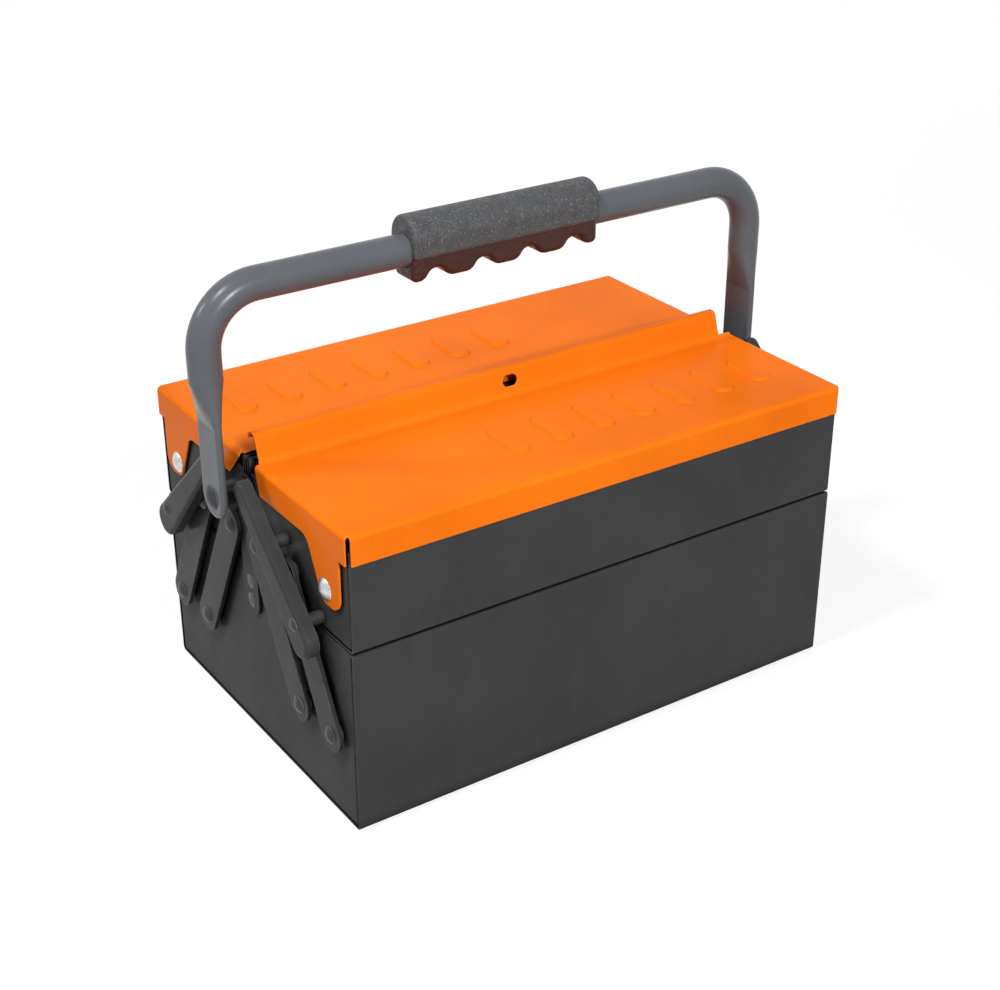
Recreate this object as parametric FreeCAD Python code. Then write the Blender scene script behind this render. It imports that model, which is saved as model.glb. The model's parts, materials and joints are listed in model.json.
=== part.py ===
import FreeCAD
import Part
import math
import os

# A folded sheet-steel tool box: one deep base, two level-swinging trays, two lids and a tube handle.
# Millimetres, +Z up, +X along the length. The origin is the centre of the underside.

os.makedirs("parts", exist_ok=True)

Vec = FreeCAD.Vector

# Overall sizes
box_length = 320.0
box_depth = 216.0
base_height = 108.0
tray_section_height = 68.0
sheet = 1.0
bend_radius = 2.5
overrun = 5.0
same_place = 1e-6

# Running clearances
pivot_clearance = 0.06
side_clearance = 0.1
lap_clearance = 0.05
sheet_clearance = 0.5

# Rolled rims of the base and trays
rim_width = 3.2
rim_depth = 9.0

# Base and tray end panels
panel_flange = 9.0

# Trays, one to the front and one to the rear of the middle
tray_end_setback = 0.4
tray_middle_gap = 1.5
tray_wall_drop = 9.0

# Links of the two parallelograms at each end
link_width = 19.0
link_thickness = 2.4
link_gap = 2.6
pivot_spacing = 34.0
lower_pivot_drop = 55.7
lower_pivot_inset = 18.5
upper_pivot_rise = 21.2
upper_pivot_offset = 15.0
pivot_radius = 3.0
shoulder_radius = 5.2
pivot_head_radius = 5.2
pivot_head_height = 2.1
tail_radius = 4.5
tail_height = 1.2

# Lids
lid_side_gap = 0.6
lid_flange = 16.5
lid_bend_radius = 2.5
ridge_offset = 14.0
ridge_height = 15.0
ridge_lean = 4.5
ridge_roll = 7.4
ridge_roll_drop = 4.2
ridge_bend_radius = 5.0
ridge_insets = (1.5, 9.0)
ridge_round_share = 0.95
rear_lip_height = 10.0
rear_lip_offset = 2.2
slot_length = 10.0
slot_width = 6.5
slot_height = 7.5
flange_inner_offset = 18.0
front_flange_slope = 4.0
rear_flange_slope = 13.0
ear_front_inset = 7.5
ear_back_inset = 25.5
ear_root_inset = 40.0
ear_drop = 8.5
ear_radii = (9.0, 7.0, 9.0)
lid_pivot_inset = 22.0
lid_pivot_rise = 28.5
lid_pivot_radius = 3.0
lid_head_radius = 6.4
lid_head_height = 2.6

# Plain pressed ribs that stiffen each lid
rib_count = 7
rib_length = 32.0
rib_width = 12.0
rib_height = 1.6
rib_pitch = 28.0
rib_row_inset = 45.0
rib_row_shift = 48.0
rib_round_share = 0.8

# Guard arms that bridge the links on each tray end
guard_low_radius = 10.0
guard_top_radius = 5.0
guard_low_reach = 30.0
guard_low_drop = 1.0
guard_top_offset = 20.0
guard_top_rise = 58.5
guard_round_share = 0.9
guard_stand_off = 8.0
guard_channel = 7.5
guard_sheet = 1.6
guard_edge_radius = 2.4
guard_rivet_radius = 2.6
guard_sleeve_radius = 3.6
guard_head_radius = 4.0
guard_head_height = 1.6
guard_rivet_along = 8.0
guard_rivet_across = 3.5
guard_stud_along = 53.0

# Posts on the base ends that carry the handle
post_width = 17.0
post_thickness = 2.0
post_foot_drop = 28.0
post_rivet_spacing = 12.0
post_rivet_radius = 2.5
post_head_radius = 4.4
post_head_height = 0.4

# Handle: a bent tube with flattened legs
handle_pivot_rise = 48.5
handle_pivot_radius = 4.0
handle_head_radius = 7.0
handle_head_height = 2.8
handle_sleeve_radius = 6.5
handle_clearance = 1.0
handle_reach = 112.0
tube_diameter = 18.0
tube_wall = 1.3
strap_thickness = 4.0
strap_width = 24.0
bend_centre_radius = 31.0
leg_round_length = 15.5
flat_blend = 24.0

# Grip moulded round the tube
grip_length = 121.0
grip_width = 26.0
grip_top = 19.0
grip_seam = 3.0
grip_round_share = 0.98
grip_foot_radius = 2.5
grip_edge_radius = 2.0
grip_tube_clearance = 0.05
finger_length = 121.0
finger_width = 20.0
finger_bottom = 16.5
finger_overlap = 3.0
finger_groove_count = 4
finger_groove_pitch = 30.0
finger_groove_mouth = 15.0
finger_groove_crown = 7.0
finger_groove_depth = 6.0
finger_groove_radius = 5.4
finger_lobe_radius = 7.0
finger_end_radius = 3.6
finger_side_radius = 3.0

# Places worked out from the sizes above
half_length = box_length / 2
half_depth = box_depth / 2
body_height = base_height + tray_section_height
lower_pivot_height = base_height - lower_pivot_drop
lower_pivot_offset = half_depth - lower_pivot_inset - pivot_spacing
post_foot_height = base_height - post_foot_drop
tray_floor = base_height + sheet_clearance
tray_half_length = half_length - tray_end_setback
tray_inner_face = tray_middle_gap / 2
tray_wall_top = body_height - tray_wall_drop
lid_underside = body_height - sheet
inner_wall_top = lid_underside - side_clearance
lid_half_length = half_length + lid_side_gap + sheet
lid_front_face = half_depth + lid_side_gap + sheet
flange_bottom = body_height - lid_flange
lid_pivot_height = tray_floor + lid_pivot_rise
lid_pivot_offset = half_depth - lid_pivot_inset
rib_row_offset = half_depth - rib_row_inset
upper_pivot_height = tray_floor + upper_pivot_rise
guard_low_offset = upper_pivot_offset + pivot_spacing + guard_low_reach
guard_low = Vec(0, -guard_low_offset, tray_floor - guard_low_drop)
guard_top = Vec(0, -guard_top_offset, tray_floor + guard_top_rise)
guard_along = (guard_top - guard_low).normalize()
guard_across = Vec(0, -guard_along.z, guard_along.y)
handle_pivot_height = tray_floor + handle_pivot_rise
handle_axis_height = handle_pivot_height + handle_reach
flat_top_height = handle_axis_height - bend_centre_radius - leg_round_length - flat_blend
link_outer = link_gap + link_thickness
guard_face = guard_stand_off + guard_channel
strap_inner = guard_face + handle_clearance
strap_outer = strap_inner + strap_thickness
tube_radius = tube_diameter / 2
leg_offset = half_length + strap_inner + strap_thickness / 2
rim_radii = [0, rim_width / 2, rim_width / 2]


# Outlines
def spot(y, z, x=0.0):
    return Vec(x, y, z)


def turn_sign(before, corner, after):
    cross = (corner.y - before.y) * (after.z - corner.z) - (corner.z - before.z) * (after.y - corner.y)
    return 1 if cross > 0 else -1


def path_edges(points, radii, closed=False):
    """Lines through points of the YZ plane, with each corner rounded by its radius; zero keeps it sharp."""
    count = len(points)
    starts, ends, arcs = list(points), list(points), [None] * count
    for i in range(count):
        if not radii[i] or (not closed and i in (0, count - 1)):
            continue
        corner = points[i]
        back = (points[i - 1] - corner).normalize()
        ahead = (points[(i + 1) % count] - corner).normalize()
        half_angle = back.getAngle(ahead) / 2
        reach = radii[i] / math.tan(half_angle)
        bisector = (back + ahead).normalize()
        middle = corner + bisector * (radii[i] / math.sin(half_angle) - radii[i])
        starts[i], ends[i] = corner + back * reach, corner + ahead * reach
        arcs[i] = Part.Arc(starts[i], middle, ends[i]).toShape()
    edges = []
    for i in range(count):
        if arcs[i]:
            edges.append(arcs[i])
        if i == count - 1 and not closed:
            break
        following = starts[(i + 1) % count]
        if (following - ends[i]).Length > same_place:
            edges.append(Part.LineSegment(ends[i], following).toShape())
    return edges


def offset_path(points, radii, distance):
    """The same path moved to its left by distance, with its corner radii following."""
    moved, moved_radii = [], []
    count = len(points)
    for i in range(count):
        before = points[max(i - 1, 0)]
        after = points[min(i + 1, count - 1)]
        normals = []
        for a, b in ((before, points[i]), (points[i], after)):
            along = b - a
            if along.Length:
                along.normalize()
                normals.append(Vec(0, -along.z, along.y))
        total = normals[0] + normals[-1]
        moved.append(points[i] + total * (2 * distance / total.dot(total)))
        side = turn_sign(before, points[i], after) if 0 < i < count - 1 else 0
        moved_radii.append(radii[i] - side * distance if radii[i] else 0)
    return moved, moved_radii


def face_of(edges):
    return Part.Face(Part.Wire(Part.__sortEdges__(edges)))


def folded_sheet(points, radii, x_low, x_high):
    """Sheet folded along a path of its outer skin, with the metal on the path's left."""
    inner, inner_radii = offset_path(points, radii, sheet)
    edges = path_edges(points, radii) + path_edges(inner, inner_radii)
    edges.append(Part.LineSegment(points[0], inner[0]).toShape())
    edges.append(Part.LineSegment(points[-1], inner[-1]).toShape())
    face = face_of(edges)
    face.translate(Vec(x_low, 0, 0))
    return face.extrude(Vec(x_high - x_low, 0, 0))


def plate(points, radii, x_low, x_high):
    face = face_of(path_edges(points, radii, closed=True))
    face.translate(Vec(x_low, 0, 0))
    return face.extrude(Vec(x_high - x_low, 0, 0))


def box(x_low, x_high, y_low, y_high, z_low, z_high):
    return Part.makeBox(x_high - x_low, y_high - y_low, z_high - z_low, Vec(x_low, y_low, z_low))


def rod(radius, x_low, x_high, y, z):
    return Part.makeCylinder(radius, x_high - x_low, Vec(x_low, y, z), Vec(1, 0, 0))


def strap_plate(low, top, radius, x_low, x_high):
    """A flat strap with a round end about each of two points."""
    along = (top - low).normalize()
    aside = Vec(0, -along.z, along.y) * radius
    face = face_of([
        Part.LineSegment(low + aside, top + aside).toShape(),
        Part.Arc(top + aside, top + along * radius, top - aside).toShape(),
        Part.LineSegment(top - aside, low - aside).toShape(),
        Part.Arc(low - aside, low - along * radius, low + aside).toShape(),
    ])
    face.translate(Vec(x_low, 0, 0))
    return face.extrude(Vec(x_high - x_low, 0, 0))


def edges_at_x(shape, x):
    """The edges that lie wholly in the plane at x."""
    return [e for e in shape.Edges if all(abs(v.Point.x - x) < same_place for v in e.Vertexes)]


def rivet(steps, dome_radius, dome_height, y, z):
    """A turned rivet on the left end: steps of radius, by distance out from the end face, then any dome."""
    profile = [Vec(steps[0][0], 0, 0)]
    for start, end, radius in steps:
        profile += [Vec(start, radius, 0), Vec(end, radius, 0)]
    edges = []
    for a, b in zip(profile, profile[1:]):
        if (b - a).Length > same_place:
            edges.append(Part.LineSegment(a, b).toShape())
    end = profile[-1]
    crown = Vec(end.x + dome_height, 0, 0)
    if dome_height:
        rim = Vec(end.x, dome_radius, 0)
        sphere_radius = (dome_radius ** 2 + dome_height ** 2) / (2 * dome_height)
        half_angle = math.asin(min(1, dome_radius / sphere_radius)) / 2
        drop = sphere_radius * (1 - math.cos(half_angle))
        shoulder = Vec(crown.x - drop, sphere_radius * math.sin(half_angle), 0)
        edges.append(Part.LineSegment(end, rim).toShape())
        edges.append(Part.Arc(rim, shoulder, crown).toShape())
    else:
        edges.append(Part.LineSegment(end, crown).toShape())
    edges.append(Part.LineSegment(crown, profile[0]).toShape())
    solid = face_of(edges).revolve(Vec(0, 0, 0), Vec(1, 0, 0), 360)
    solid.rotate(Vec(0, 0, 0), Vec(0, 0, 1), 180)
    solid.translate(Vec(-half_length, y, z))
    return solid


# Mirrors
def to_right(shape):
    return shape.mirror(Vec(0, 0, 0), Vec(1, 0, 0))


def to_rear(shape):
    return shape.mirror(Vec(0, 0, 0), Vec(0, 1, 0))


def save(name, shapes):
    """Write one sub-part, given as one solid or a list of separate solids."""
    shape = Part.makeCompound(shapes) if isinstance(shapes, list) else shapes
    for solid in shape.Solids:
        if not solid.isValid() or solid.Volume <= 0:
            raise ValueError(f"{name} holds a bad solid")
    if not shape.Solids:
        raise ValueError(f"{name} holds no solid")
    shape.exportStep(f"parts/{name}.step")


# Base
def rolled_rim(outer_face, top, inward):
    """Path points of a rim rolled inwards, from its inner leaf up and over to the outer face."""
    inner_face = outer_face + inward * rim_width
    return [spot(inner_face, top - rim_depth), spot(inner_face, top), spot(outer_face, top)]


def base_wrap():
    front = rolled_rim(-half_depth, base_height, 1)
    rear = rolled_rim(half_depth, base_height, -1)[::-1]
    points = front + [spot(-half_depth, 0), spot(half_depth, 0)] + rear
    radii = rim_radii + [bend_radius, bend_radius] + rim_radii[::-1]
    return folded_sheet(points, radii, -half_length, half_length)


def end_pan(y_low, y_high, z_low, z_high, face_x):
    """A pressed end panel on the left: a web with flanges turned inwards at its two sides and its foot."""
    def block(inset, top, reach):
        corner = bend_radius - inset
        points = [spot(y_low + inset, top), spot(y_low + inset, z_low + inset)]
        points += [spot(y_high - inset, z_low + inset), spot(y_high - inset, top)]
        solid = plate(points, [0, corner, corner, 0], face_x + inset, face_x + reach)
        web = edges_at_x(solid, face_x + inset)
        rounded = [e for e in web if e.CenterOfMass.z < top - corner]
        return solid.makeFillet(corner, rounded)
    return block(0, z_high, panel_flange).cut(block(sheet, z_high + overrun, panel_flange + overrun))


def base_end():
    """Left end of the base, notched at its top corners round the rolled rims, with holes for its rivets."""
    side = half_depth - sheet - lap_clearance
    pan = end_pan(-side, side, sheet + lap_clearance, base_height, -half_length)
    rim_side = half_depth - rim_width - lap_clearance
    notch_foot = base_height - rim_depth - lap_clearance
    reach = -half_length + panel_flange + overrun
    for y_low, y_high in ((-half_depth, -rim_side), (rim_side, half_depth)):
        pan = pan.cut(box(-half_length - overrun, reach, y_low, y_high, notch_foot, base_height + overrun))
    for y, z in lower_pivots():
        pan = pan.cut(rod(pivot_radius, -half_length - overrun, reach, y, z))
    for z in post_rivet_heights():
        pan = pan.cut(rod(post_rivet_radius, -half_length - overrun, reach, 0, z))
    return pan


# Link pivots, front ones first
def lower_pivots():
    spots = [-lower_pivot_offset - pivot_spacing, -lower_pivot_offset, lower_pivot_offset]
    spots.append(lower_pivot_offset + pivot_spacing)
    return [(y, lower_pivot_height) for y in spots]


def upper_pivots_front():
    return [(-upper_pivot_offset - step, upper_pivot_height) for step in (pivot_spacing, 0)]


def link_steps(wall_face):
    """Tail, wall, shoulder and bearing of a link rivet, as distances out from the base's end face."""
    inner = wall_face - sheet
    return [
        (inner - tail_height, inner, tail_radius),
        (inner, wall_face, pivot_radius),
        (wall_face, link_gap - side_clearance, shoulder_radius),
        (link_gap - side_clearance, link_outer + side_clearance, pivot_radius),
    ]


def link_rivet(y, z, wall_face):
    return rivet(link_steps(wall_face), pivot_head_radius, pivot_head_height, y, z)


def link(lower, upper):
    outer = -half_length - link_outer
    inner = -half_length - link_gap
    low, top = spot(*lower), spot(*upper)
    strip = strap_plate(low, top, link_width / 2, outer, inner)
    bore = pivot_radius + pivot_clearance
    for point in (low, top):
        strip = strip.cut(rod(bore, outer - overrun, inner + overrun, point.y, point.z))
    return strip


# Handle posts
def post_rivet_heights():
    low = post_foot_height + post_width / 2
    return [low, low + post_rivet_spacing]


def handle_post():
    outer = -half_length - post_thickness
    foot = spot(0, post_foot_height + post_width / 2)
    head = spot(0, handle_pivot_height)
    bar = strap_plate(foot, head, post_width / 2, outer, -half_length)
    bar = bar.cut(rod(handle_pivot_radius, outer - overrun, -half_length + overrun, 0, handle_pivot_height))
    for z in post_rivet_heights():
        bar = bar.cut(rod(post_rivet_radius, outer - overrun, -half_length + overrun, 0, z))
    return bar


def post_rivets():
    steps = [(-sheet - tail_height, -sheet, tail_radius), (-sheet, post_thickness, post_rivet_radius)]
    return [rivet(steps, post_head_radius, post_head_height, 0, z) for z in post_rivet_heights()]


def handle_rivet():
    steps = [(0, strap_outer + side_clearance, handle_pivot_radius)]
    return rivet(steps, handle_head_radius, handle_head_height, 0, handle_pivot_height)


def handle_sleeve():
    outer = -half_length - strap_inner + side_clearance
    inner = -half_length - post_thickness
    sleeve = rod(handle_sleeve_radius, outer, inner, 0, handle_pivot_height)
    return sleeve.cut(rod(handle_pivot_radius, outer - overrun, inner + overrun, 0, handle_pivot_height))


# Trays, modelled at the front and mirrored to the rear
def tray_wrap():
    front = rolled_rim(-half_depth, tray_wall_top, 1)
    rear = rolled_rim(-tray_inner_face, inner_wall_top, -1)[::-1]
    points = front + [spot(-half_depth, tray_floor), spot(-tray_inner_face, tray_floor)] + rear
    radii = rim_radii + [bend_radius, bend_radius] + rim_radii[::-1]
    return folded_sheet(points, radii, -tray_half_length, tray_half_length)


def guard_rivet_spot():
    return guard_low + guard_along * guard_rivet_along + guard_across * guard_rivet_across


def guard_stud_spot():
    return guard_low + guard_along * guard_stud_along


def tray_end():
    """Left end of the front tray, clear of the rolled rim of its front wall, with holes for its rivets."""
    y_low = -half_depth + sheet + lap_clearance
    y_high = -tray_inner_face - sheet - lap_clearance
    pan = end_pan(y_low, y_high, tray_floor + sheet + lap_clearance, tray_wall_top, -tray_half_length)
    reach = -tray_half_length + panel_flange + overrun
    start = -tray_half_length - overrun
    rim_foot = tray_wall_top - rim_depth - lap_clearance
    rim_side = -half_depth + rim_width + lap_clearance
    pan = pan.cut(box(start, reach, -half_depth, rim_side, rim_foot, tray_wall_top + overrun))
    inner_foot = inner_wall_top - rim_depth - lap_clearance
    inner_side = -tray_inner_face - rim_width - lap_clearance
    if inner_foot < tray_wall_top:
        pan = pan.cut(box(start, reach, inner_side, 0, inner_foot, tray_wall_top + overrun))
    for y, z in upper_pivots_front():
        pan = pan.cut(rod(pivot_radius, start, reach, y, z))
    for point in (guard_rivet_spot(), guard_stud_spot()):
        pan = pan.cut(rod(guard_rivet_radius, start, reach, point.y, point.z))
    return pan.cut(rod(lid_pivot_radius, start, reach, -lid_pivot_offset, lid_pivot_height))


def guard_arm():
    """A tapered pressed channel that leans to the middle, open to the wall and round at both ends."""
    face = -half_length - guard_face
    back = -half_length - guard_stand_off

    def block(inset, end):
        low, top = guard_low_radius - inset, guard_top_radius - inset
        foot, head = guard_low - guard_along * low, guard_top + guard_along * top
        points = [head + guard_across * top, foot + guard_across * low]
        points += [foot - guard_across * low, head - guard_across * top]
        low_round, top_round = low * guard_round_share, top * guard_round_share
        solid = plate(points, [top_round, low_round, low_round, top_round], face + inset, end)
        return solid.makeFillet(guard_edge_radius - inset, edges_at_x(solid, face + inset))
    arm = block(0, back).cut(block(guard_sheet, back + overrun))
    point = guard_rivet_spot()
    return arm.cut(rod(guard_rivet_radius, face - overrun, back + overrun, point.y, point.z))


def guard_rivets():
    """A headed rivet near the foot of the arm and a plain stud that meets the back of its face."""
    wall = -tray_end_setback
    sleeve_end = guard_face - guard_sheet
    steps = [
        (wall - sheet - tail_height, wall - sheet, tail_radius),
        (wall - sheet, wall, guard_rivet_radius),
        (wall, sleeve_end, guard_sleeve_radius),
    ]
    through = steps + [(sleeve_end, guard_face, guard_rivet_radius)]
    foot, stud = guard_rivet_spot(), guard_stud_spot()
    headed = rivet(through, guard_head_radius, guard_head_height, foot.y, foot.z)
    return [headed, rivet(steps, 0, 0, stud.y, stud.z)]


def lid_rivet():
    wall = -tray_end_setback
    steps = [
        (wall - sheet - tail_height, wall - sheet, tail_radius),
        (wall - sheet, wall, lid_pivot_radius),
        (wall, lid_side_gap - side_clearance, shoulder_radius),
        (lid_side_gap - side_clearance, lid_side_gap + sheet + side_clearance, lid_pivot_radius),
    ]
    return rivet(steps, lid_head_radius, lid_head_height, -lid_pivot_offset, lid_pivot_height)


# Lids, both modelled at the front
def end_flange(slope):
    """Left end flange of a lid with the ear that hangs on the tray's rivet."""
    ear_bottom = lid_pivot_height - ear_drop
    outline = [
        spot(-lid_front_face + lid_bend_radius, flange_bottom),
        spot(-half_depth + ear_front_inset, flange_bottom),
        spot(-half_depth + ear_front_inset, ear_bottom),
        spot(-half_depth + ear_back_inset, ear_bottom),
        spot(-half_depth + ear_root_inset, flange_bottom),
        spot(-flange_inner_offset, flange_bottom),
        spot(-flange_inner_offset + slope, body_height - lid_bend_radius),
        spot(-lid_front_face + lid_bend_radius, body_height - lid_bend_radius),
    ]
    outer = -lid_half_length
    ear = plate(outline, [0, 0, *ear_radii, 0, 0, 0], outer, outer + sheet)
    bore = lid_pivot_radius + pivot_clearance
    return ear.cut(rod(bore, outer - overrun, outer + overrun, -lid_pivot_offset, lid_pivot_height))


def end_bend(slope):
    """The quarter bend that carries the left end flange down from the lid's top."""
    centre_x = -lid_half_length + lid_bend_radius
    centre_z = body_height - lid_bend_radius
    y_low = -lid_front_face + lid_bend_radius
    y_high = -flange_inner_offset + slope
    start = Vec(centre_x, y_low, centre_z)
    outer = Part.makeCylinder(lid_bend_radius, y_high - y_low, start, Vec(0, 1, 0))
    inner = Part.makeCylinder(lid_bend_radius - sheet, y_high - y_low, start, Vec(0, 1, 0))
    quarter = box(-lid_half_length, centre_x, y_low, y_high, centre_z, body_height)
    return outer.cut(inner).common(quarter)


def slot_cutter(y_low, y_high, z):
    ends = slot_length / 2 - slot_width / 2
    parts = [box(-ends, ends, y_low, y_high, z - slot_width / 2, z + slot_width / 2)]
    for x in (-ends, ends):
        parts.append(Part.makeCylinder(slot_width / 2, y_high - y_low, Vec(x, y_low, z), Vec(0, 1, 0)))
    return parts[0].multiFuse(parts[1:])


def lid_ribs():
    """A row of plain pressed ribs across the lid's top."""
    ribs = []
    reach = (rib_length - rib_width) / 2
    for i in range(rib_count):
        x = rib_row_shift + (i - (rib_count - 1) / 2) * rib_pitch
        low = Vec(x, -rib_row_offset - reach, body_height)
        high = Vec(x, -rib_row_offset + reach, body_height)
        bar = Part.makeBox(rib_width, 2 * reach, rib_height, low - Vec(rib_width / 2, 0, 0))
        caps = [Part.makeCylinder(rib_width / 2, rib_height, end) for end in (low, high)]
        rib = bar.multiFuse(caps).removeSplitter()
        crown = body_height + rib_height
        top = [e for e in rib.Edges if all(abs(v.Z - crown) < same_place for v in e.Vertexes)]
        ribs.append(rib.makeFillet(rib_height * rib_round_share, top))
    return ribs


def lid_shell(lip_points, lip_radii, slope):
    """A folded lid: front flange, top and raised lip in one fold, with an end flange and ear on each end."""
    front = [spot(-lid_front_face, flange_bottom), spot(-lid_front_face, body_height)]
    points = (front + lip_points)[::-1]
    radii = ([0, lid_bend_radius] + lip_radii)[::-1]
    span = lid_half_length - lid_bend_radius
    shell = folded_sheet(points, radii, -span, span)
    trim_top = body_height + ridge_height + overrun
    for side, inset in zip((-1, 1), ridge_insets):
        ends = sorted((side * (half_length - inset), side * (lid_half_length + overrun)))
        shell = shell.cut(box(ends[0], ends[1], -ridge_offset, 0, body_height, trim_top))
    left = end_flange(slope).fuse(end_bend(slope))
    shell = shell.multiFuse([left, to_right(left)] + lid_ribs())
    return shell.removeSplitter()


def front_lid():
    """The lid whose raised and rolled edge covers the middle joint, with a padlock slot."""
    top = body_height + ridge_height
    lean_y = -ridge_offset + ridge_lean
    lip = [
        spot(-ridge_offset, body_height),
        spot(lean_y, top),
        spot(lean_y + ridge_roll, top),
        spot(lean_y + ridge_roll, top - ridge_roll_drop),
    ]
    roll = ridge_roll / 2 * ridge_round_share
    lid = lid_shell(lip, [ridge_bend_radius, roll, roll, 0], front_flange_slope)
    return lid.cut(slot_cutter(-ridge_offset - overrun, 0, body_height + slot_height))


def rear_lid():
    """The other lid, turned half round to the rear, with a low lip behind the ridge."""
    lip = [spot(-rear_lip_offset, body_height), spot(-rear_lip_offset, body_height + rear_lip_height)]
    lid = lid_shell(lip, [lid_bend_radius, 0], rear_flange_slope)
    lid = lid.cut(slot_cutter(-ridge_offset, 0, body_height + slot_height))
    lid.rotate(Vec(0, 0, 0), Vec(0, 0, 1), 180)
    return lid


# Handle
def slot_wire(x, z, width, thickness):
    """A flat section with round edges across the leg, centred on x."""
    half_width, half_thickness = width / 2, thickness / 2
    y = half_width - half_thickness
    a, b = Vec(x - half_thickness, -y, z), Vec(x - half_thickness, y, z)
    c, d = Vec(x + half_thickness, y, z), Vec(x + half_thickness, -y, z)
    return Part.Wire([
        Part.LineSegment(a, b).toShape(),
        Part.Arc(b, Vec(x, half_width, z), c).toShape(),
        Part.LineSegment(c, d).toShape(),
        Part.Arc(d, Vec(x, -half_width, z), a).toShape(),
    ])


def round_wire(x, z, radius):
    """A circle split where the flat section has its corners."""
    def point(angle):
        return Vec(x + radius * math.cos(angle), radius * math.sin(angle), z)
    quarter = math.pi / 2
    spread = quarter / 2
    edges = []
    for middle in (math.pi, quarter, 0, -quarter):
        edges.append(Part.Arc(point(middle + spread), point(middle), point(middle - spread)).toShape())
    return Part.Wire(edges)


def tube_path(low):
    """The left half and right half of the tube's centre line, from low up one leg and down the other."""
    top = handle_axis_height
    bend = bend_centre_radius
    swing = bend * (1 - math.sqrt(0.5))
    a, b = Vec(-leg_offset, 0, low), Vec(-leg_offset, 0, top - bend)
    c, d = Vec(-leg_offset + bend, 0, top), Vec(leg_offset - bend, 0, top)
    e, f = Vec(leg_offset, 0, top - bend), Vec(leg_offset, 0, low)
    return Part.Wire([
        Part.LineSegment(a, b).toShape(),
        Part.Arc(b, Vec(-leg_offset + swing, 0, top - swing), c).toShape(),
        Part.LineSegment(c, d).toShape(),
        Part.Arc(d, Vec(leg_offset - swing, 0, top - swing), e).toShape(),
        Part.LineSegment(e, f).toShape(),
    ])


def pipe(radius, low):
    start = Vec(-leg_offset, 0, low)
    circle = Part.Wire(Part.makeCircle(radius, start, Vec(0, 0, 1)))
    return tube_path(low).makePipeShell([circle], True, False)


def handle_leg():
    """The flattened left leg: a strap with round edges and a round eye, blended up into the round tube."""
    centre = Vec(-leg_offset, 0, handle_pivot_height)
    section = Part.Face(slot_wire(centre.x, centre.z, strap_width, strap_thickness))
    strap = section.extrude(Vec(0, 0, flat_top_height - centre.z))
    start, end = centre.x - strap_thickness, centre.x + strap_thickness
    one_side = box(start, end, 0, strap_width, centre.z - overrun, centre.z + overrun)
    eye = section.common(one_side).Faces[0].revolve(centre, Vec(1, 0, 0), 360)
    strap = strap.fuse(eye).cut(rod(handle_pivot_radius + pivot_clearance, start, end, 0, centre.z))
    flat = slot_wire(centre.x, flat_top_height, strap_width, strap_thickness)
    ring = round_wire(centre.x, flat_top_height + flat_blend, tube_radius)
    blend = Part.makeLoft([flat, ring], True, False)
    return [strap, blend]


def handle_tube():
    low = flat_top_height + flat_blend
    tube = pipe(tube_radius, low).cut(pipe(tube_radius - tube_wall, low))
    left = handle_leg()
    pieces = left + [to_right(piece) for piece in left]
    return tube.multiFuse(pieces).removeSplitter()


def grip_bar():
    """The upper part of the grip: a bar with a half-round top and a flat underside, its ends rounded."""
    half, side = grip_length / 2, grip_width / 2
    top, foot = handle_axis_height + grip_top, handle_axis_height - grip_seam
    points = [spot(-side, foot), spot(side, foot), spot(side, top), spot(-side, top)]
    crown = side * grip_round_share
    bar = plate(points, [grip_foot_radius, grip_foot_radius, crown, crown], -half, half)
    return bar.makeFillet(grip_edge_radius, edges_at_x(bar, -half) + edges_at_x(bar, half))


def finger_bar():
    """The narrower part under the grip, with rounded lobes between the finger grooves."""
    half = finger_length / 2
    bottom = handle_axis_height - finger_bottom
    top = handle_axis_height - grip_seam + finger_overlap
    crown = bottom + finger_groove_depth
    mouth_half, crown_half = finger_groove_mouth / 2, finger_groove_crown / 2
    points, radii = [spot(-half, top), spot(-half, bottom)], [0, finger_end_radius]
    for i in range(finger_groove_count):
        middle = (i - (finger_groove_count - 1) / 2) * finger_groove_pitch
        points += [spot(middle - mouth_half, bottom), spot(middle - crown_half, crown)]
        points += [spot(middle + crown_half, crown), spot(middle + mouth_half, bottom)]
        radii += [finger_lobe_radius, finger_groove_radius, finger_groove_radius, finger_lobe_radius]
    points += [spot(half, bottom), spot(half, top)]
    radii += [finger_end_radius, 0]
    side = finger_width / 2
    bar = plate(points, radii, -side, side)
    bar = bar.makeFillet(finger_side_radius, edges_at_x(bar, -side) + edges_at_x(bar, side))
    bar.rotate(Vec(0, 0, 0), Vec(0, 0, 1), 90)
    return bar


def handle_grip():
    """A moulded grip: a rounded bar with a finger part under it, bored for the tube."""
    half = grip_length / 2
    bore = tube_radius + grip_tube_clearance
    body = grip_bar().fuse(finger_bar())
    return body.cut(rod(bore, -half - overrun, half + overrun, 0, handle_axis_height)).removeSplitter()


# Write every sub-part
save("base_wrap", base_wrap())
left_base_end = base_end()
save("base_end_left", left_base_end)
save("base_end_right", to_right(left_base_end))
base_studs = [link_rivet(y, z, 0) for y, z in lower_pivots()]
save("base_pivot_rivets", base_studs + [to_right(s) for s in base_studs])
left_post = handle_post()
save("handle_post_left", left_post)
save("handle_post_right", to_right(left_post))
left_post_rivets = post_rivets()
save("handle_post_rivets", left_post_rivets + [to_right(r) for r in left_post_rivets])
save("handle_pivot_rivets", [handle_rivet(), to_right(handle_rivet())])
save("handle_pivot_sleeves", [handle_sleeve(), to_right(handle_sleeve())])

front_upper = upper_pivots_front()
front_lower = lower_pivots()[:2]
for place, lower, upper in zip(("outer", "inner"), front_lower, front_upper):
    strip = link(lower, upper)
    for tray, move in (("front", lambda s: s), ("rear", to_rear)):
        save(f"link_{tray}_{place}_left", move(strip))
        save(f"link_{tray}_{place}_right", to_right(move(strip)))

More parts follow.
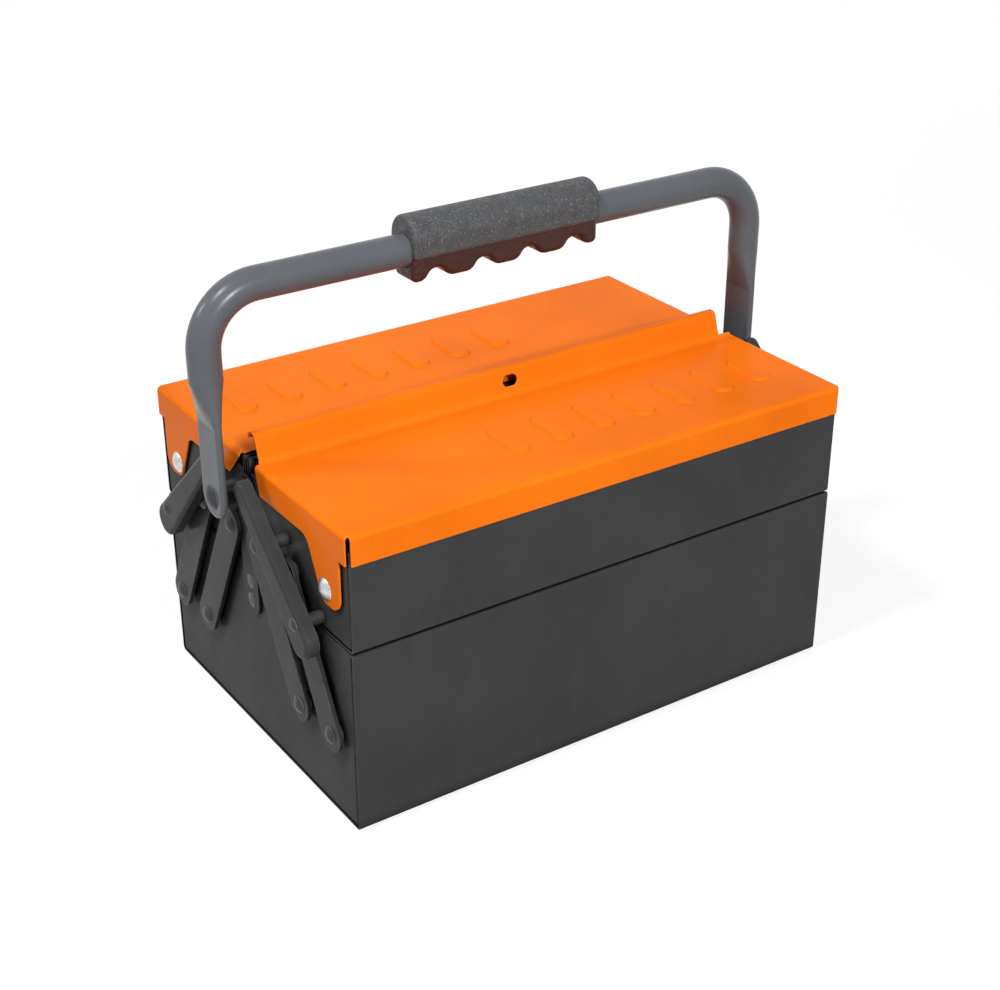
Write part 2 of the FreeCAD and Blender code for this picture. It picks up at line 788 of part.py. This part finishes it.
wrap = tray_wrap()
left_end = tray_end()
left_guard = guard_arm()
pivots = [link_rivet(y, z, -tray_end_setback) for y, z in front_upper]
arm_rivets = guard_rivets()
hinge_rivet = lid_rivet()
for tray, move in (("front", lambda s: s), ("rear", to_rear)):
    save(f"tray_{tray}_wrap", move(wrap))
    save(f"tray_{tray}_end_left", move(left_end))
    save(f"tray_{tray}_end_right", to_right(move(left_end)))
    save(f"tray_{tray}_guard_left", move(left_guard))
    save(f"tray_{tray}_guard_right", to_right(move(left_guard)))
    for name, rivets in (("pivot", pivots), ("guard", arm_rivets), ("lid", [hinge_rivet])):
        placed = [move(r) for r in rivets]
        save(f"tray_{tray}_{name}_rivets", placed + [to_right(r) for r in placed])

save("lid_front", front_lid())
save("lid_rear", rear_lid())
save("handle_tube", handle_tube())
save("handle_grip", handle_grip())
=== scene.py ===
import bpy
import json
import math
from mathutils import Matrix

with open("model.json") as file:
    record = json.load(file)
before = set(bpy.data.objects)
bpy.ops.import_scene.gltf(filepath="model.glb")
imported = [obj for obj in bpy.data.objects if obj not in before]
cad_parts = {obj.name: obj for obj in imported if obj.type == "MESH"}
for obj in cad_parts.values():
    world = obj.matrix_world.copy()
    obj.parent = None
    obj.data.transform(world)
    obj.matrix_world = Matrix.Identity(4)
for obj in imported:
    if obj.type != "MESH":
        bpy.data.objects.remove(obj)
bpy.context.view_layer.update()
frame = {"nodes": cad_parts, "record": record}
nodes = frame["nodes"]
scene = bpy.context.scene
scene.view_settings.view_transform = "Standard"

# Camera, fitted to the photograph
camera_place = (-0.51523, -0.76584, 0.58466)
camera_azimuth = -33.99
camera_elevation = 27.41
camera_lens = 63.82
camera_sensor = 36.0

# Colours, linear
charcoal = (0.047, 0.047, 0.048)
# Worn colour, also used as a painted highlight along the body's edges
charcoal_worn_and_highlight = (0.16, 0.16, 0.165)
orange = (0.86, 0.168, 0.006)
# Worn colour, also used as a painted highlight along the lids' edges and bends
orange_worn_and_highlight = (1.0, 0.36, 0.06)
handle_grey = (0.088, 0.096, 0.108)
handle_worn = (0.26, 0.26, 0.27)
arm_black = (0.037, 0.037, 0.038)
# Worn colour, also used as a painted highlight glinting along the arms' edges
arm_worn_and_highlight = (0.28, 0.28, 0.285)
grip_black = (0.062, 0.064, 0.068)
# Painted shade with orange bounce light, for the grip's finger part below the seam
finger_painted_shade = (0.034, 0.011, 0.009)
rivet_black = (0.030, 0.030, 0.032)
rivet_worn = (0.30, 0.30, 0.31)
zinc = (0.62, 0.62, 0.63)
zinc_dark = (0.30, 0.29, 0.28)

# Sizes on the surfaces, in metres
gap_reach = 0.012
grip_edge = 0.0012
grip_lump_depth = 0.0012
grip_pebble_depth = 0.0007
grip_grain_depth = 0.0004
grip_seam_height = 0.266
grip_seam_blend = 0.0006
zinc_edge = 0.0004
zinc_mark_depth = 0.0001

# Grain of the surface patterns: a higher scale is finer
patch_scale = 11.0
speck_scale = 430.0
dust_scale = 38.0
dust_stretch = (1.0, 1.0, 0.45)
scuff_scale = 95.0
scuff_stretch = (0.35, 1.0, 1.6)
rub_scale = 160.0
gloss_scale = 55.0
wave_scale = 9.0
peel_scale = 620.0
grip_pebble_scale = 420.0
grip_grain_scale = 1300.0
grip_lump_scale = 150.0
grip_speck_scale = 600.0
zinc_patch_scale = 260.0
zinc_mark_scale = 900.0

# How dark or pale patches, specks, dust, the shade painted into gaps and below the grip's seam, and worn
# spots are, as shares of a base colour
patch_dark = 0.90
patch_pale = 1.08
speck_pale = 1.35
dust_share = 0.75
# Share of the base colour for the painted shade in narrow gaps between pieces
crevice_shade_share = 0.10
grip_grain_dark = 0.45
grip_grain_pale = 1.80
grip_lump_dark = 0.55
grip_rubbed_pale = 4.0
finger_shade_pale = 1.5

# Strength of wear and shine
scuff_strength = 0.35
grip_edge_wear = 0.4
grip_shine = 0.25
finger_smoothing = 0.18

# Floor and surroundings
floor_half = 12.0
floor_drop = 0.0005
floor_pale = (0.45, 0.45, 0.45, 1.0)
floor_seen = (0.36, 0.36, 0.36)
floor_far = (0.0, 0.0, 0.0)
floor_near_reach = 0.55
floor_far_reach = 1.5
floor_glow = 0.71
white = (1.0, 1.0, 1.0, 1.0)
surround_light = 0.14
surround_seen = 1.0

# Lamps, aimed at the middle of the box
lamp_target = (0.0, 0.0, 0.12)
lamps = {
    "key": dict(place=(-0.3, -1.7, 1.1), size=0.4, power=32.0, mirrored=True),
    "top": dict(place=(-0.8, -0.1, 1.5), size=0.3, power=13.0, mirrored=True),
    "side": dict(place=(-1.4, 0.9, 1.1), size=0.2, power=8.0, mirrored=True),
    "back": dict(place=(0.9, 1.7, 0.6), size=1.0, power=14.0, mirrored=False),
}


class Graph:
    """A material's node tree with short ways to add and join nodes."""

    def __init__(self, name):
        self.material = bpy.data.materials.new(name)
        self.material.use_nodes = True
        self.tree = self.material.node_tree
        self.tree.nodes.clear()
        self.shader = self.add("ShaderNodeBsdfPrincipled")
        self.output = self.add("ShaderNodeOutputMaterial")
        self.join(self.shader.outputs["BSDF"], self.output.inputs["Surface"])
        self.place = self.add("ShaderNodeTexCoord").outputs["Object"]

    def add(self, kind, **settings):
        made = self.tree.nodes.new(kind)
        for key, value in settings.items():
            setattr(made, key, value)
        return made

    def join(self, start, end):
        self.tree.links.new(start, end)

    def feed(self, socket, value):
        if isinstance(value, bpy.types.NodeSocket):
            self.join(value, socket)
        else:
            socket.default_value = value

    def noise(self, scale, detail, roughness=0.55, stretch=None):
        texture = self.add("ShaderNodeTexNoise")
        texture.inputs["Scale"].default_value = scale
        texture.inputs["Detail"].default_value = detail
        texture.inputs["Roughness"].default_value = roughness
        source = self.place
        if stretch:
            mapping = self.add("ShaderNodeMapping")
            mapping.inputs["Scale"].default_value = stretch
            self.join(self.place, mapping.inputs["Vector"])
            source = mapping.outputs["Vector"]
        self.join(source, texture.inputs["Vector"])
        return texture.outputs["Fac"]

    def pebbles(self, scale):
        texture = self.add("ShaderNodeTexVoronoi", feature="SMOOTH_F1")
        texture.inputs["Scale"].default_value = scale
        self.join(self.place, texture.inputs["Vector"])
        return texture.outputs["Distance"]

    def remap(self, value, start, stop, first=0.0, last=1.0):
        """Goes from first to last while the value goes from start to stop."""
        ramp = self.add("ShaderNodeMapRange")
        self.join(value, ramp.inputs["Value"])
        ramp.inputs["From Min"].default_value = start
        ramp.inputs["From Max"].default_value = stop
        ramp.inputs["To Min"].default_value = first
        ramp.inputs["To Max"].default_value = last
        return ramp.outputs["Result"]

    def math(self, operation, a, b):
        made = self.add("ShaderNodeMath", operation=operation)
        self.feed(made.inputs[0], a)
        self.feed(made.inputs[1], b)
        return made.outputs[0]

    def mix(self, factor, a, b):
        made = self.add("ShaderNodeMix", data_type="RGBA")
        self.feed(made.inputs[0], factor)
        for socket, value in ((made.inputs[6], a), (made.inputs[7], b)):
            self.feed(socket, (*value, 1.0) if isinstance(value, tuple) else value)
        return made.outputs[2]

    def soft_edges(self, radius):
        """The normal of the same form with its sharp edges eased."""
        made = self.add("ShaderNodeBevel", samples=6)
        made.inputs["Radius"].default_value = radius
        return made.outputs["Normal"]

    def edge_mask(self, eased):
        """Near one where the eased normal leaves the true one, which is along the edges."""
        made = self.add("ShaderNodeVectorMath", operation="DOT_PRODUCT")
        self.join(eased, made.inputs[0])
        self.join(self.add("ShaderNodeNewGeometry").outputs["Normal"], made.inputs[1])
        return self.remap(made.outputs["Value"], start=0.995, stop=0.80)

    def openness(self, reach):
        """Near zero in the narrow gaps between pieces and one in the open; it places the shade painted into
        those gaps.
        """
        made = self.add("ShaderNodeAmbientOcclusion", samples=8)
        made.inputs["Distance"].default_value = reach
        return made.outputs["AO"]

    def bump(self, height, strength, distance, normal):
        made = self.add("ShaderNodeBump")
        made.inputs["Strength"].default_value = strength
        made.inputs["Distance"].default_value = distance
        self.join(height, made.inputs["Height"])
        self.join(normal, made.inputs["Normal"])
        return made.outputs["Normal"]

    def looked_at(self):
        """One for what the eye meets, directly or by mirror or glass, and zero for all other light."""
        path = self.add("ShaderNodeLightPath")
        seen = self.math("MAXIMUM", path.outputs["Is Camera Ray"], path.outputs["Is Glossy Ray"])
        return self.math("MAXIMUM", seen, path.outputs["Is Transmission Ray"])


def tint(colour, share):
    return tuple(min(1.0, c * share) for c in colour)


# Materials
def paint(name, colour, worn_and_highlight, rough, rough_spread, shine, edge, wear_and_highlight, peel, wave, grime=0.0, crevice_shade=0.0):
    """Sprayed paint: orange peel, sheet waves, patchy gloss, small scuffs, and edges made lighter as rubbed
    wear and as a painted highlight.
    """
    g = Graph(name)
    eased = g.soft_edges(edge)
    patches = g.remap(g.noise(patch_scale, detail=2.0), start=0.32, stop=0.68)
    tone = g.mix(patches, tint(colour, patch_dark), tint(colour, patch_pale))
    specks = g.remap(g.noise(speck_scale, detail=2.0, roughness=0.6), start=0.30, stop=0.75, last=0.14)
    tone = g.mix(specks, tone, tint(colour, speck_pale))
    if grime:
        dust = g.noise(dust_scale, detail=6.0, roughness=0.68, stretch=dust_stretch)
        tone = g.mix(g.remap(dust, start=0.52, stop=0.80, last=grime), tone, tint(worn_and_highlight, dust_share))
    scuff = g.noise(scuff_scale, detail=7.0, roughness=0.72, stretch=scuff_stretch)
    tone = g.mix(g.remap(scuff, start=0.70, stop=0.80, last=scuff_strength * wear_and_highlight), tone, worn_and_highlight)
    # Lighter edges: partly rubbed wear, partly a painted highlight along the edges, strongest on the lids
    # and arms
    rubbed = g.remap(g.noise(rub_scale, detail=4.0, roughness=0.65), start=0.36, stop=0.62, first=0.15)
    edge_rub_and_highlight = g.math("MULTIPLY", g.edge_mask(eased), rubbed)
    tone = g.mix(g.math("MULTIPLY", edge_rub_and_highlight, wear_and_highlight), tone, worn_and_highlight)
    # Painted shade: the base colour darkens in narrow gaps and crevices between pieces, where shade falls
    if crevice_shade:
        crevice_shade_mask = g.remap(g.openness(gap_reach), start=0.30, stop=0.90, first=crevice_shade, last=0.0)
        tone = g.mix(crevice_shade_mask, tone, tint(colour, crevice_shade_share))
    g.join(tone, g.shader.inputs["Base Color"])
    gloss = g.noise(gloss_scale, detail=4.0)
    gloss = g.remap(gloss, start=0.3, stop=0.7, first=rough - rough_spread, last=rough + rough_spread)
    g.join(gloss, g.shader.inputs["Roughness"])
    g.shader.inputs["Specular IOR Level"].default_value = shine
    normal = g.bump(g.noise(wave_scale, detail=1.0), strength=0.35, distance=wave, normal=eased)
    orange_peel = g.noise(peel_scale, detail=2.0, roughness=0.5)
    normal = g.bump(orange_peel, strength=0.35, distance=peel, normal=normal)
    g.join(normal, g.shader.inputs["Normal"])
    return g.material


def moulded_grip(name):
    """Rough black moulding with rubbed high spots, smoother below the seam, where a dark red is painted in
    as shade lit by orange bounce light.
    """
    g = Graph(name)
    eased = g.soft_edges(grip_edge)
    grain = g.noise(grip_grain_scale, detail=3.0, roughness=0.65)
    lumps = g.noise(grip_lump_scale, detail=4.0, roughness=0.65)
    specks = g.noise(grip_speck_scale, detail=2.0, roughness=0.6)
    rubbed = tint(grip_black, grip_rubbed_pale)
    dark, pale = tint(grip_black, grip_grain_dark), tint(grip_black, grip_grain_pale)
    tone = g.mix(g.remap(grain, start=0.30, stop=0.70), dark, pale)
    hollows = g.remap(lumps, start=0.35, stop=0.70, last=0.45)
    tone = g.mix(hollows, tone, tint(grip_black, grip_lump_dark))
    tone = g.mix(g.remap(specks, start=0.60, stop=0.72, last=0.60), tone, rubbed)
    tone = g.mix(g.math("MULTIPLY", g.edge_mask(eased), grip_edge_wear), tone, rubbed)
    parts = g.add("ShaderNodeSeparateXYZ")
    g.join(g.place, parts.inputs[0])
    seam_top = grip_seam_height + grip_seam_blend
    seam_foot = grip_seam_height - grip_seam_blend
    low = g.remap(parts.outputs["Z"], start=seam_top, stop=seam_foot)
    # Painted shade: below the seam the grip takes a dark red, standing for shade and orange light bounced up
    # from the lid
    finger_shade_tone = g.mix(g.remap(lumps, start=0.35, stop=0.70), finger_painted_shade, tint(finger_painted_shade, finger_shade_pale))
    g.join(g.mix(low, tone, finger_shade_tone), g.shader.inputs["Base Color"])
    rough = g.remap(lumps, start=0.3, stop=0.7, first=0.42, last=0.68)
    rough = g.math("SUBTRACT", rough, g.math("MULTIPLY", low, finger_smoothing))
    g.join(rough, g.shader.inputs["Roughness"])
    g.shader.inputs["Specular IOR Level"].default_value = grip_shine
    normal = g.bump(lumps, strength=0.6, distance=grip_lump_depth, normal=eased)
    normal = g.bump(g.pebbles(grip_pebble_scale), strength=0.55, distance=grip_pebble_depth, normal=normal)
    normal = g.bump(grain, strength=0.5, distance=grip_grain_depth, normal=normal)
    g.join(normal, g.shader.inputs["Normal"])
    return g.material


def plated(name):
    """Zinc-plated rivet: bright metal with faint marks and dull patches."""
    g = Graph(name)
    eased = g.soft_edges(zinc_edge)
    patch = g.noise(zinc_patch_scale, detail=4.0, roughness=0.6)
    tone = g.mix(g.remap(patch, start=0.45, stop=0.7, last=0.8), zinc, zinc_dark)
    g.join(tone, g.shader.inputs["Base Color"])
    g.shader.inputs["Metallic"].default_value = 1.0
    g.join(g.remap(patch, start=0.3, stop=0.7, first=0.22, last=0.42), g.shader.inputs["Roughness"])
    marks = g.noise(zinc_mark_scale, detail=3.0)
    normal = g.bump(marks, strength=0.3, distance=zinc_mark_depth, normal=eased)
    g.join(normal, g.shader.inputs["Normal"])
    return g.material


finishes = {
    "body_paint": paint("charcoal_paint", charcoal, charcoal_worn_and_highlight, rough=0.34, rough_spread=0.06,
                        shine=0.025, edge=0.0008, wear_and_highlight=0.75, peel=0.00006, wave=0.0010, grime=0.10,
                        crevice_shade=0.9),
    "lid_paint": paint("orange_paint", orange, orange_worn_and_highlight, rough=0.25, rough_spread=0.04, shine=0.02,
                       edge=0.0008, wear_and_highlight=0.85, peel=0.00005, wave=0.0012),
    "handle_paint": paint("handle_paint", handle_grey, handle_worn, rough=0.27, rough_spread=0.05,
                          shine=0.22, edge=0.0006, wear_and_highlight=0.6, peel=0.00006, wave=0.0008),
    "arm_paint": paint("arm_paint", arm_black, arm_worn_and_highlight, rough=0.30, rough_spread=0.06, shine=0.05,
                       edge=0.0006, wear_and_highlight=0.9, peel=0.00006, wave=0.0006, grime=0.12, crevice_shade=0.8),
    "dark_rivets": paint("rivet_paint", rivet_black, rivet_worn, rough=0.36, rough_spread=0.08, shine=0.25,
                         edge=0.0005, wear_and_highlight=0.9, peel=0.00006, wave=0.0004, grime=0.2),
    "grip_plastic": moulded_grip("grip_moulding"),
    "zinc_rivets": plated("bright_zinc"),
}
for subpart in frame["record"]["subparts"]:
    mesh = nodes[subpart["node"]].data
    mesh.materials.clear()
    mesh.materials.append(finishes[subpart["material_slot"]])


# Floor, light and camera
def floor_material():
    """White to the eye and in reflections, with the object's shadow; plain pale stuff to all other light."""
    g = Graph("pale_floor")
    plain = g.add("ShaderNodeBsdfDiffuse")
    plain.inputs["Color"].default_value = floor_pale
    away = g.add("ShaderNodeVectorMath", operation="LENGTH")
    g.join(g.place, away.inputs[0])
    far = g.remap(away.outputs["Value"], start=floor_near_reach, stop=floor_far_reach)
    shaded = g.add("ShaderNodeBsdfDiffuse")
    g.join(g.mix(far, floor_seen, floor_far), shaded.inputs["Color"])
    glow = g.add("ShaderNodeEmission")
    g.join(g.remap(far, start=0.0, stop=1.0, first=floor_glow, last=1.0), glow.inputs["Strength"])
    seen = g.add("ShaderNodeAddShader")
    g.join(shaded.outputs["BSDF"], seen.inputs[0])
    g.join(glow.outputs["Emission"], seen.inputs[1])
    either = g.add("ShaderNodeMixShader")
    g.join(g.looked_at(), either.inputs[0])
    g.join(plain.outputs["BSDF"], either.inputs[1])
    g.join(seen.outputs["Shader"], either.inputs[2])
    g.join(either.outputs["Shader"], g.output.inputs["Surface"])
    g.tree.nodes.remove(g.shader)
    return g.material


def add_floor():
    mesh = bpy.data.meshes.new("floor")
    ends = (-floor_half, floor_half)
    corners = [(ends[0], ends[0], 0), (ends[1], ends[0], 0), (ends[1], ends[1], 0), (ends[0], ends[1], 0)]
    mesh.from_pydata(corners, [], [(0, 1, 2, 3)])
    floor = bpy.data.objects.new("floor", mesh)
    floor.location.z = -floor_drop
    scene.collection.objects.link(floor)
    mesh.materials.append(floor_material())


def add_lamp(name, place, size, power, mirrored):
    data = bpy.data.lights.new(name, "AREA")
    data.shape = "DISK"
    data.size = size
    data.energy = power
    lamp = bpy.data.objects.new(name, data)
    lamp.location = place
    lamp.visible_glossy = mirrored
    scene.collection.objects.link(lamp)
    aim = [t - p for t, p in zip(lamp_target, place)]
    flat = math.hypot(aim[0], aim[1])
    lamp.rotation_euler = (math.atan2(flat, -aim[2]), 0.0, math.atan2(-aim[0], aim[1]))


def add_world():
    """White where it is looked at, and a faint even light everywhere else."""
    world = bpy.data.worlds.new("studio")
    scene.world = world
    world.use_nodes = True
    tree = world.node_tree
    sky = tree.nodes["Background"]
    sky.inputs["Color"].default_value = white
    path = tree.nodes.new("ShaderNodeLightPath")
    looked_at = path.outputs["Is Camera Ray"]
    for kind in ("Is Glossy Ray", "Is Transmission Ray"):
        either = tree.nodes.new("ShaderNodeMath")
        either.operation = "MAXIMUM"
        tree.links.new(looked_at, either.inputs[0])
        tree.links.new(path.outputs[kind], either.inputs[1])
        looked_at = either.outputs[0]
    level = tree.nodes.new("ShaderNodeMapRange")
    level.inputs["To Min"].default_value = surround_light
    level.inputs["To Max"].default_value = surround_seen
    tree.links.new(looked_at, level.inputs["Value"])
    tree.links.new(level.outputs["Result"], sky.inputs["Strength"])


def add_camera():
    data = bpy.data.cameras.new("camera")
    data.sensor_width = camera_sensor
    data.lens = camera_lens
    camera = bpy.data.objects.new("camera", data)
    camera.location = camera_place
    camera.rotation_euler = (math.radians(90.0 - camera_elevation), 0.0, math.radians(camera_azimuth))
    scene.collection.objects.link(camera)
    scene.camera = camera


add_floor()
for lamp_name, settings in lamps.items():
    add_lamp(lamp_name, **settings)
add_world()
add_camera()
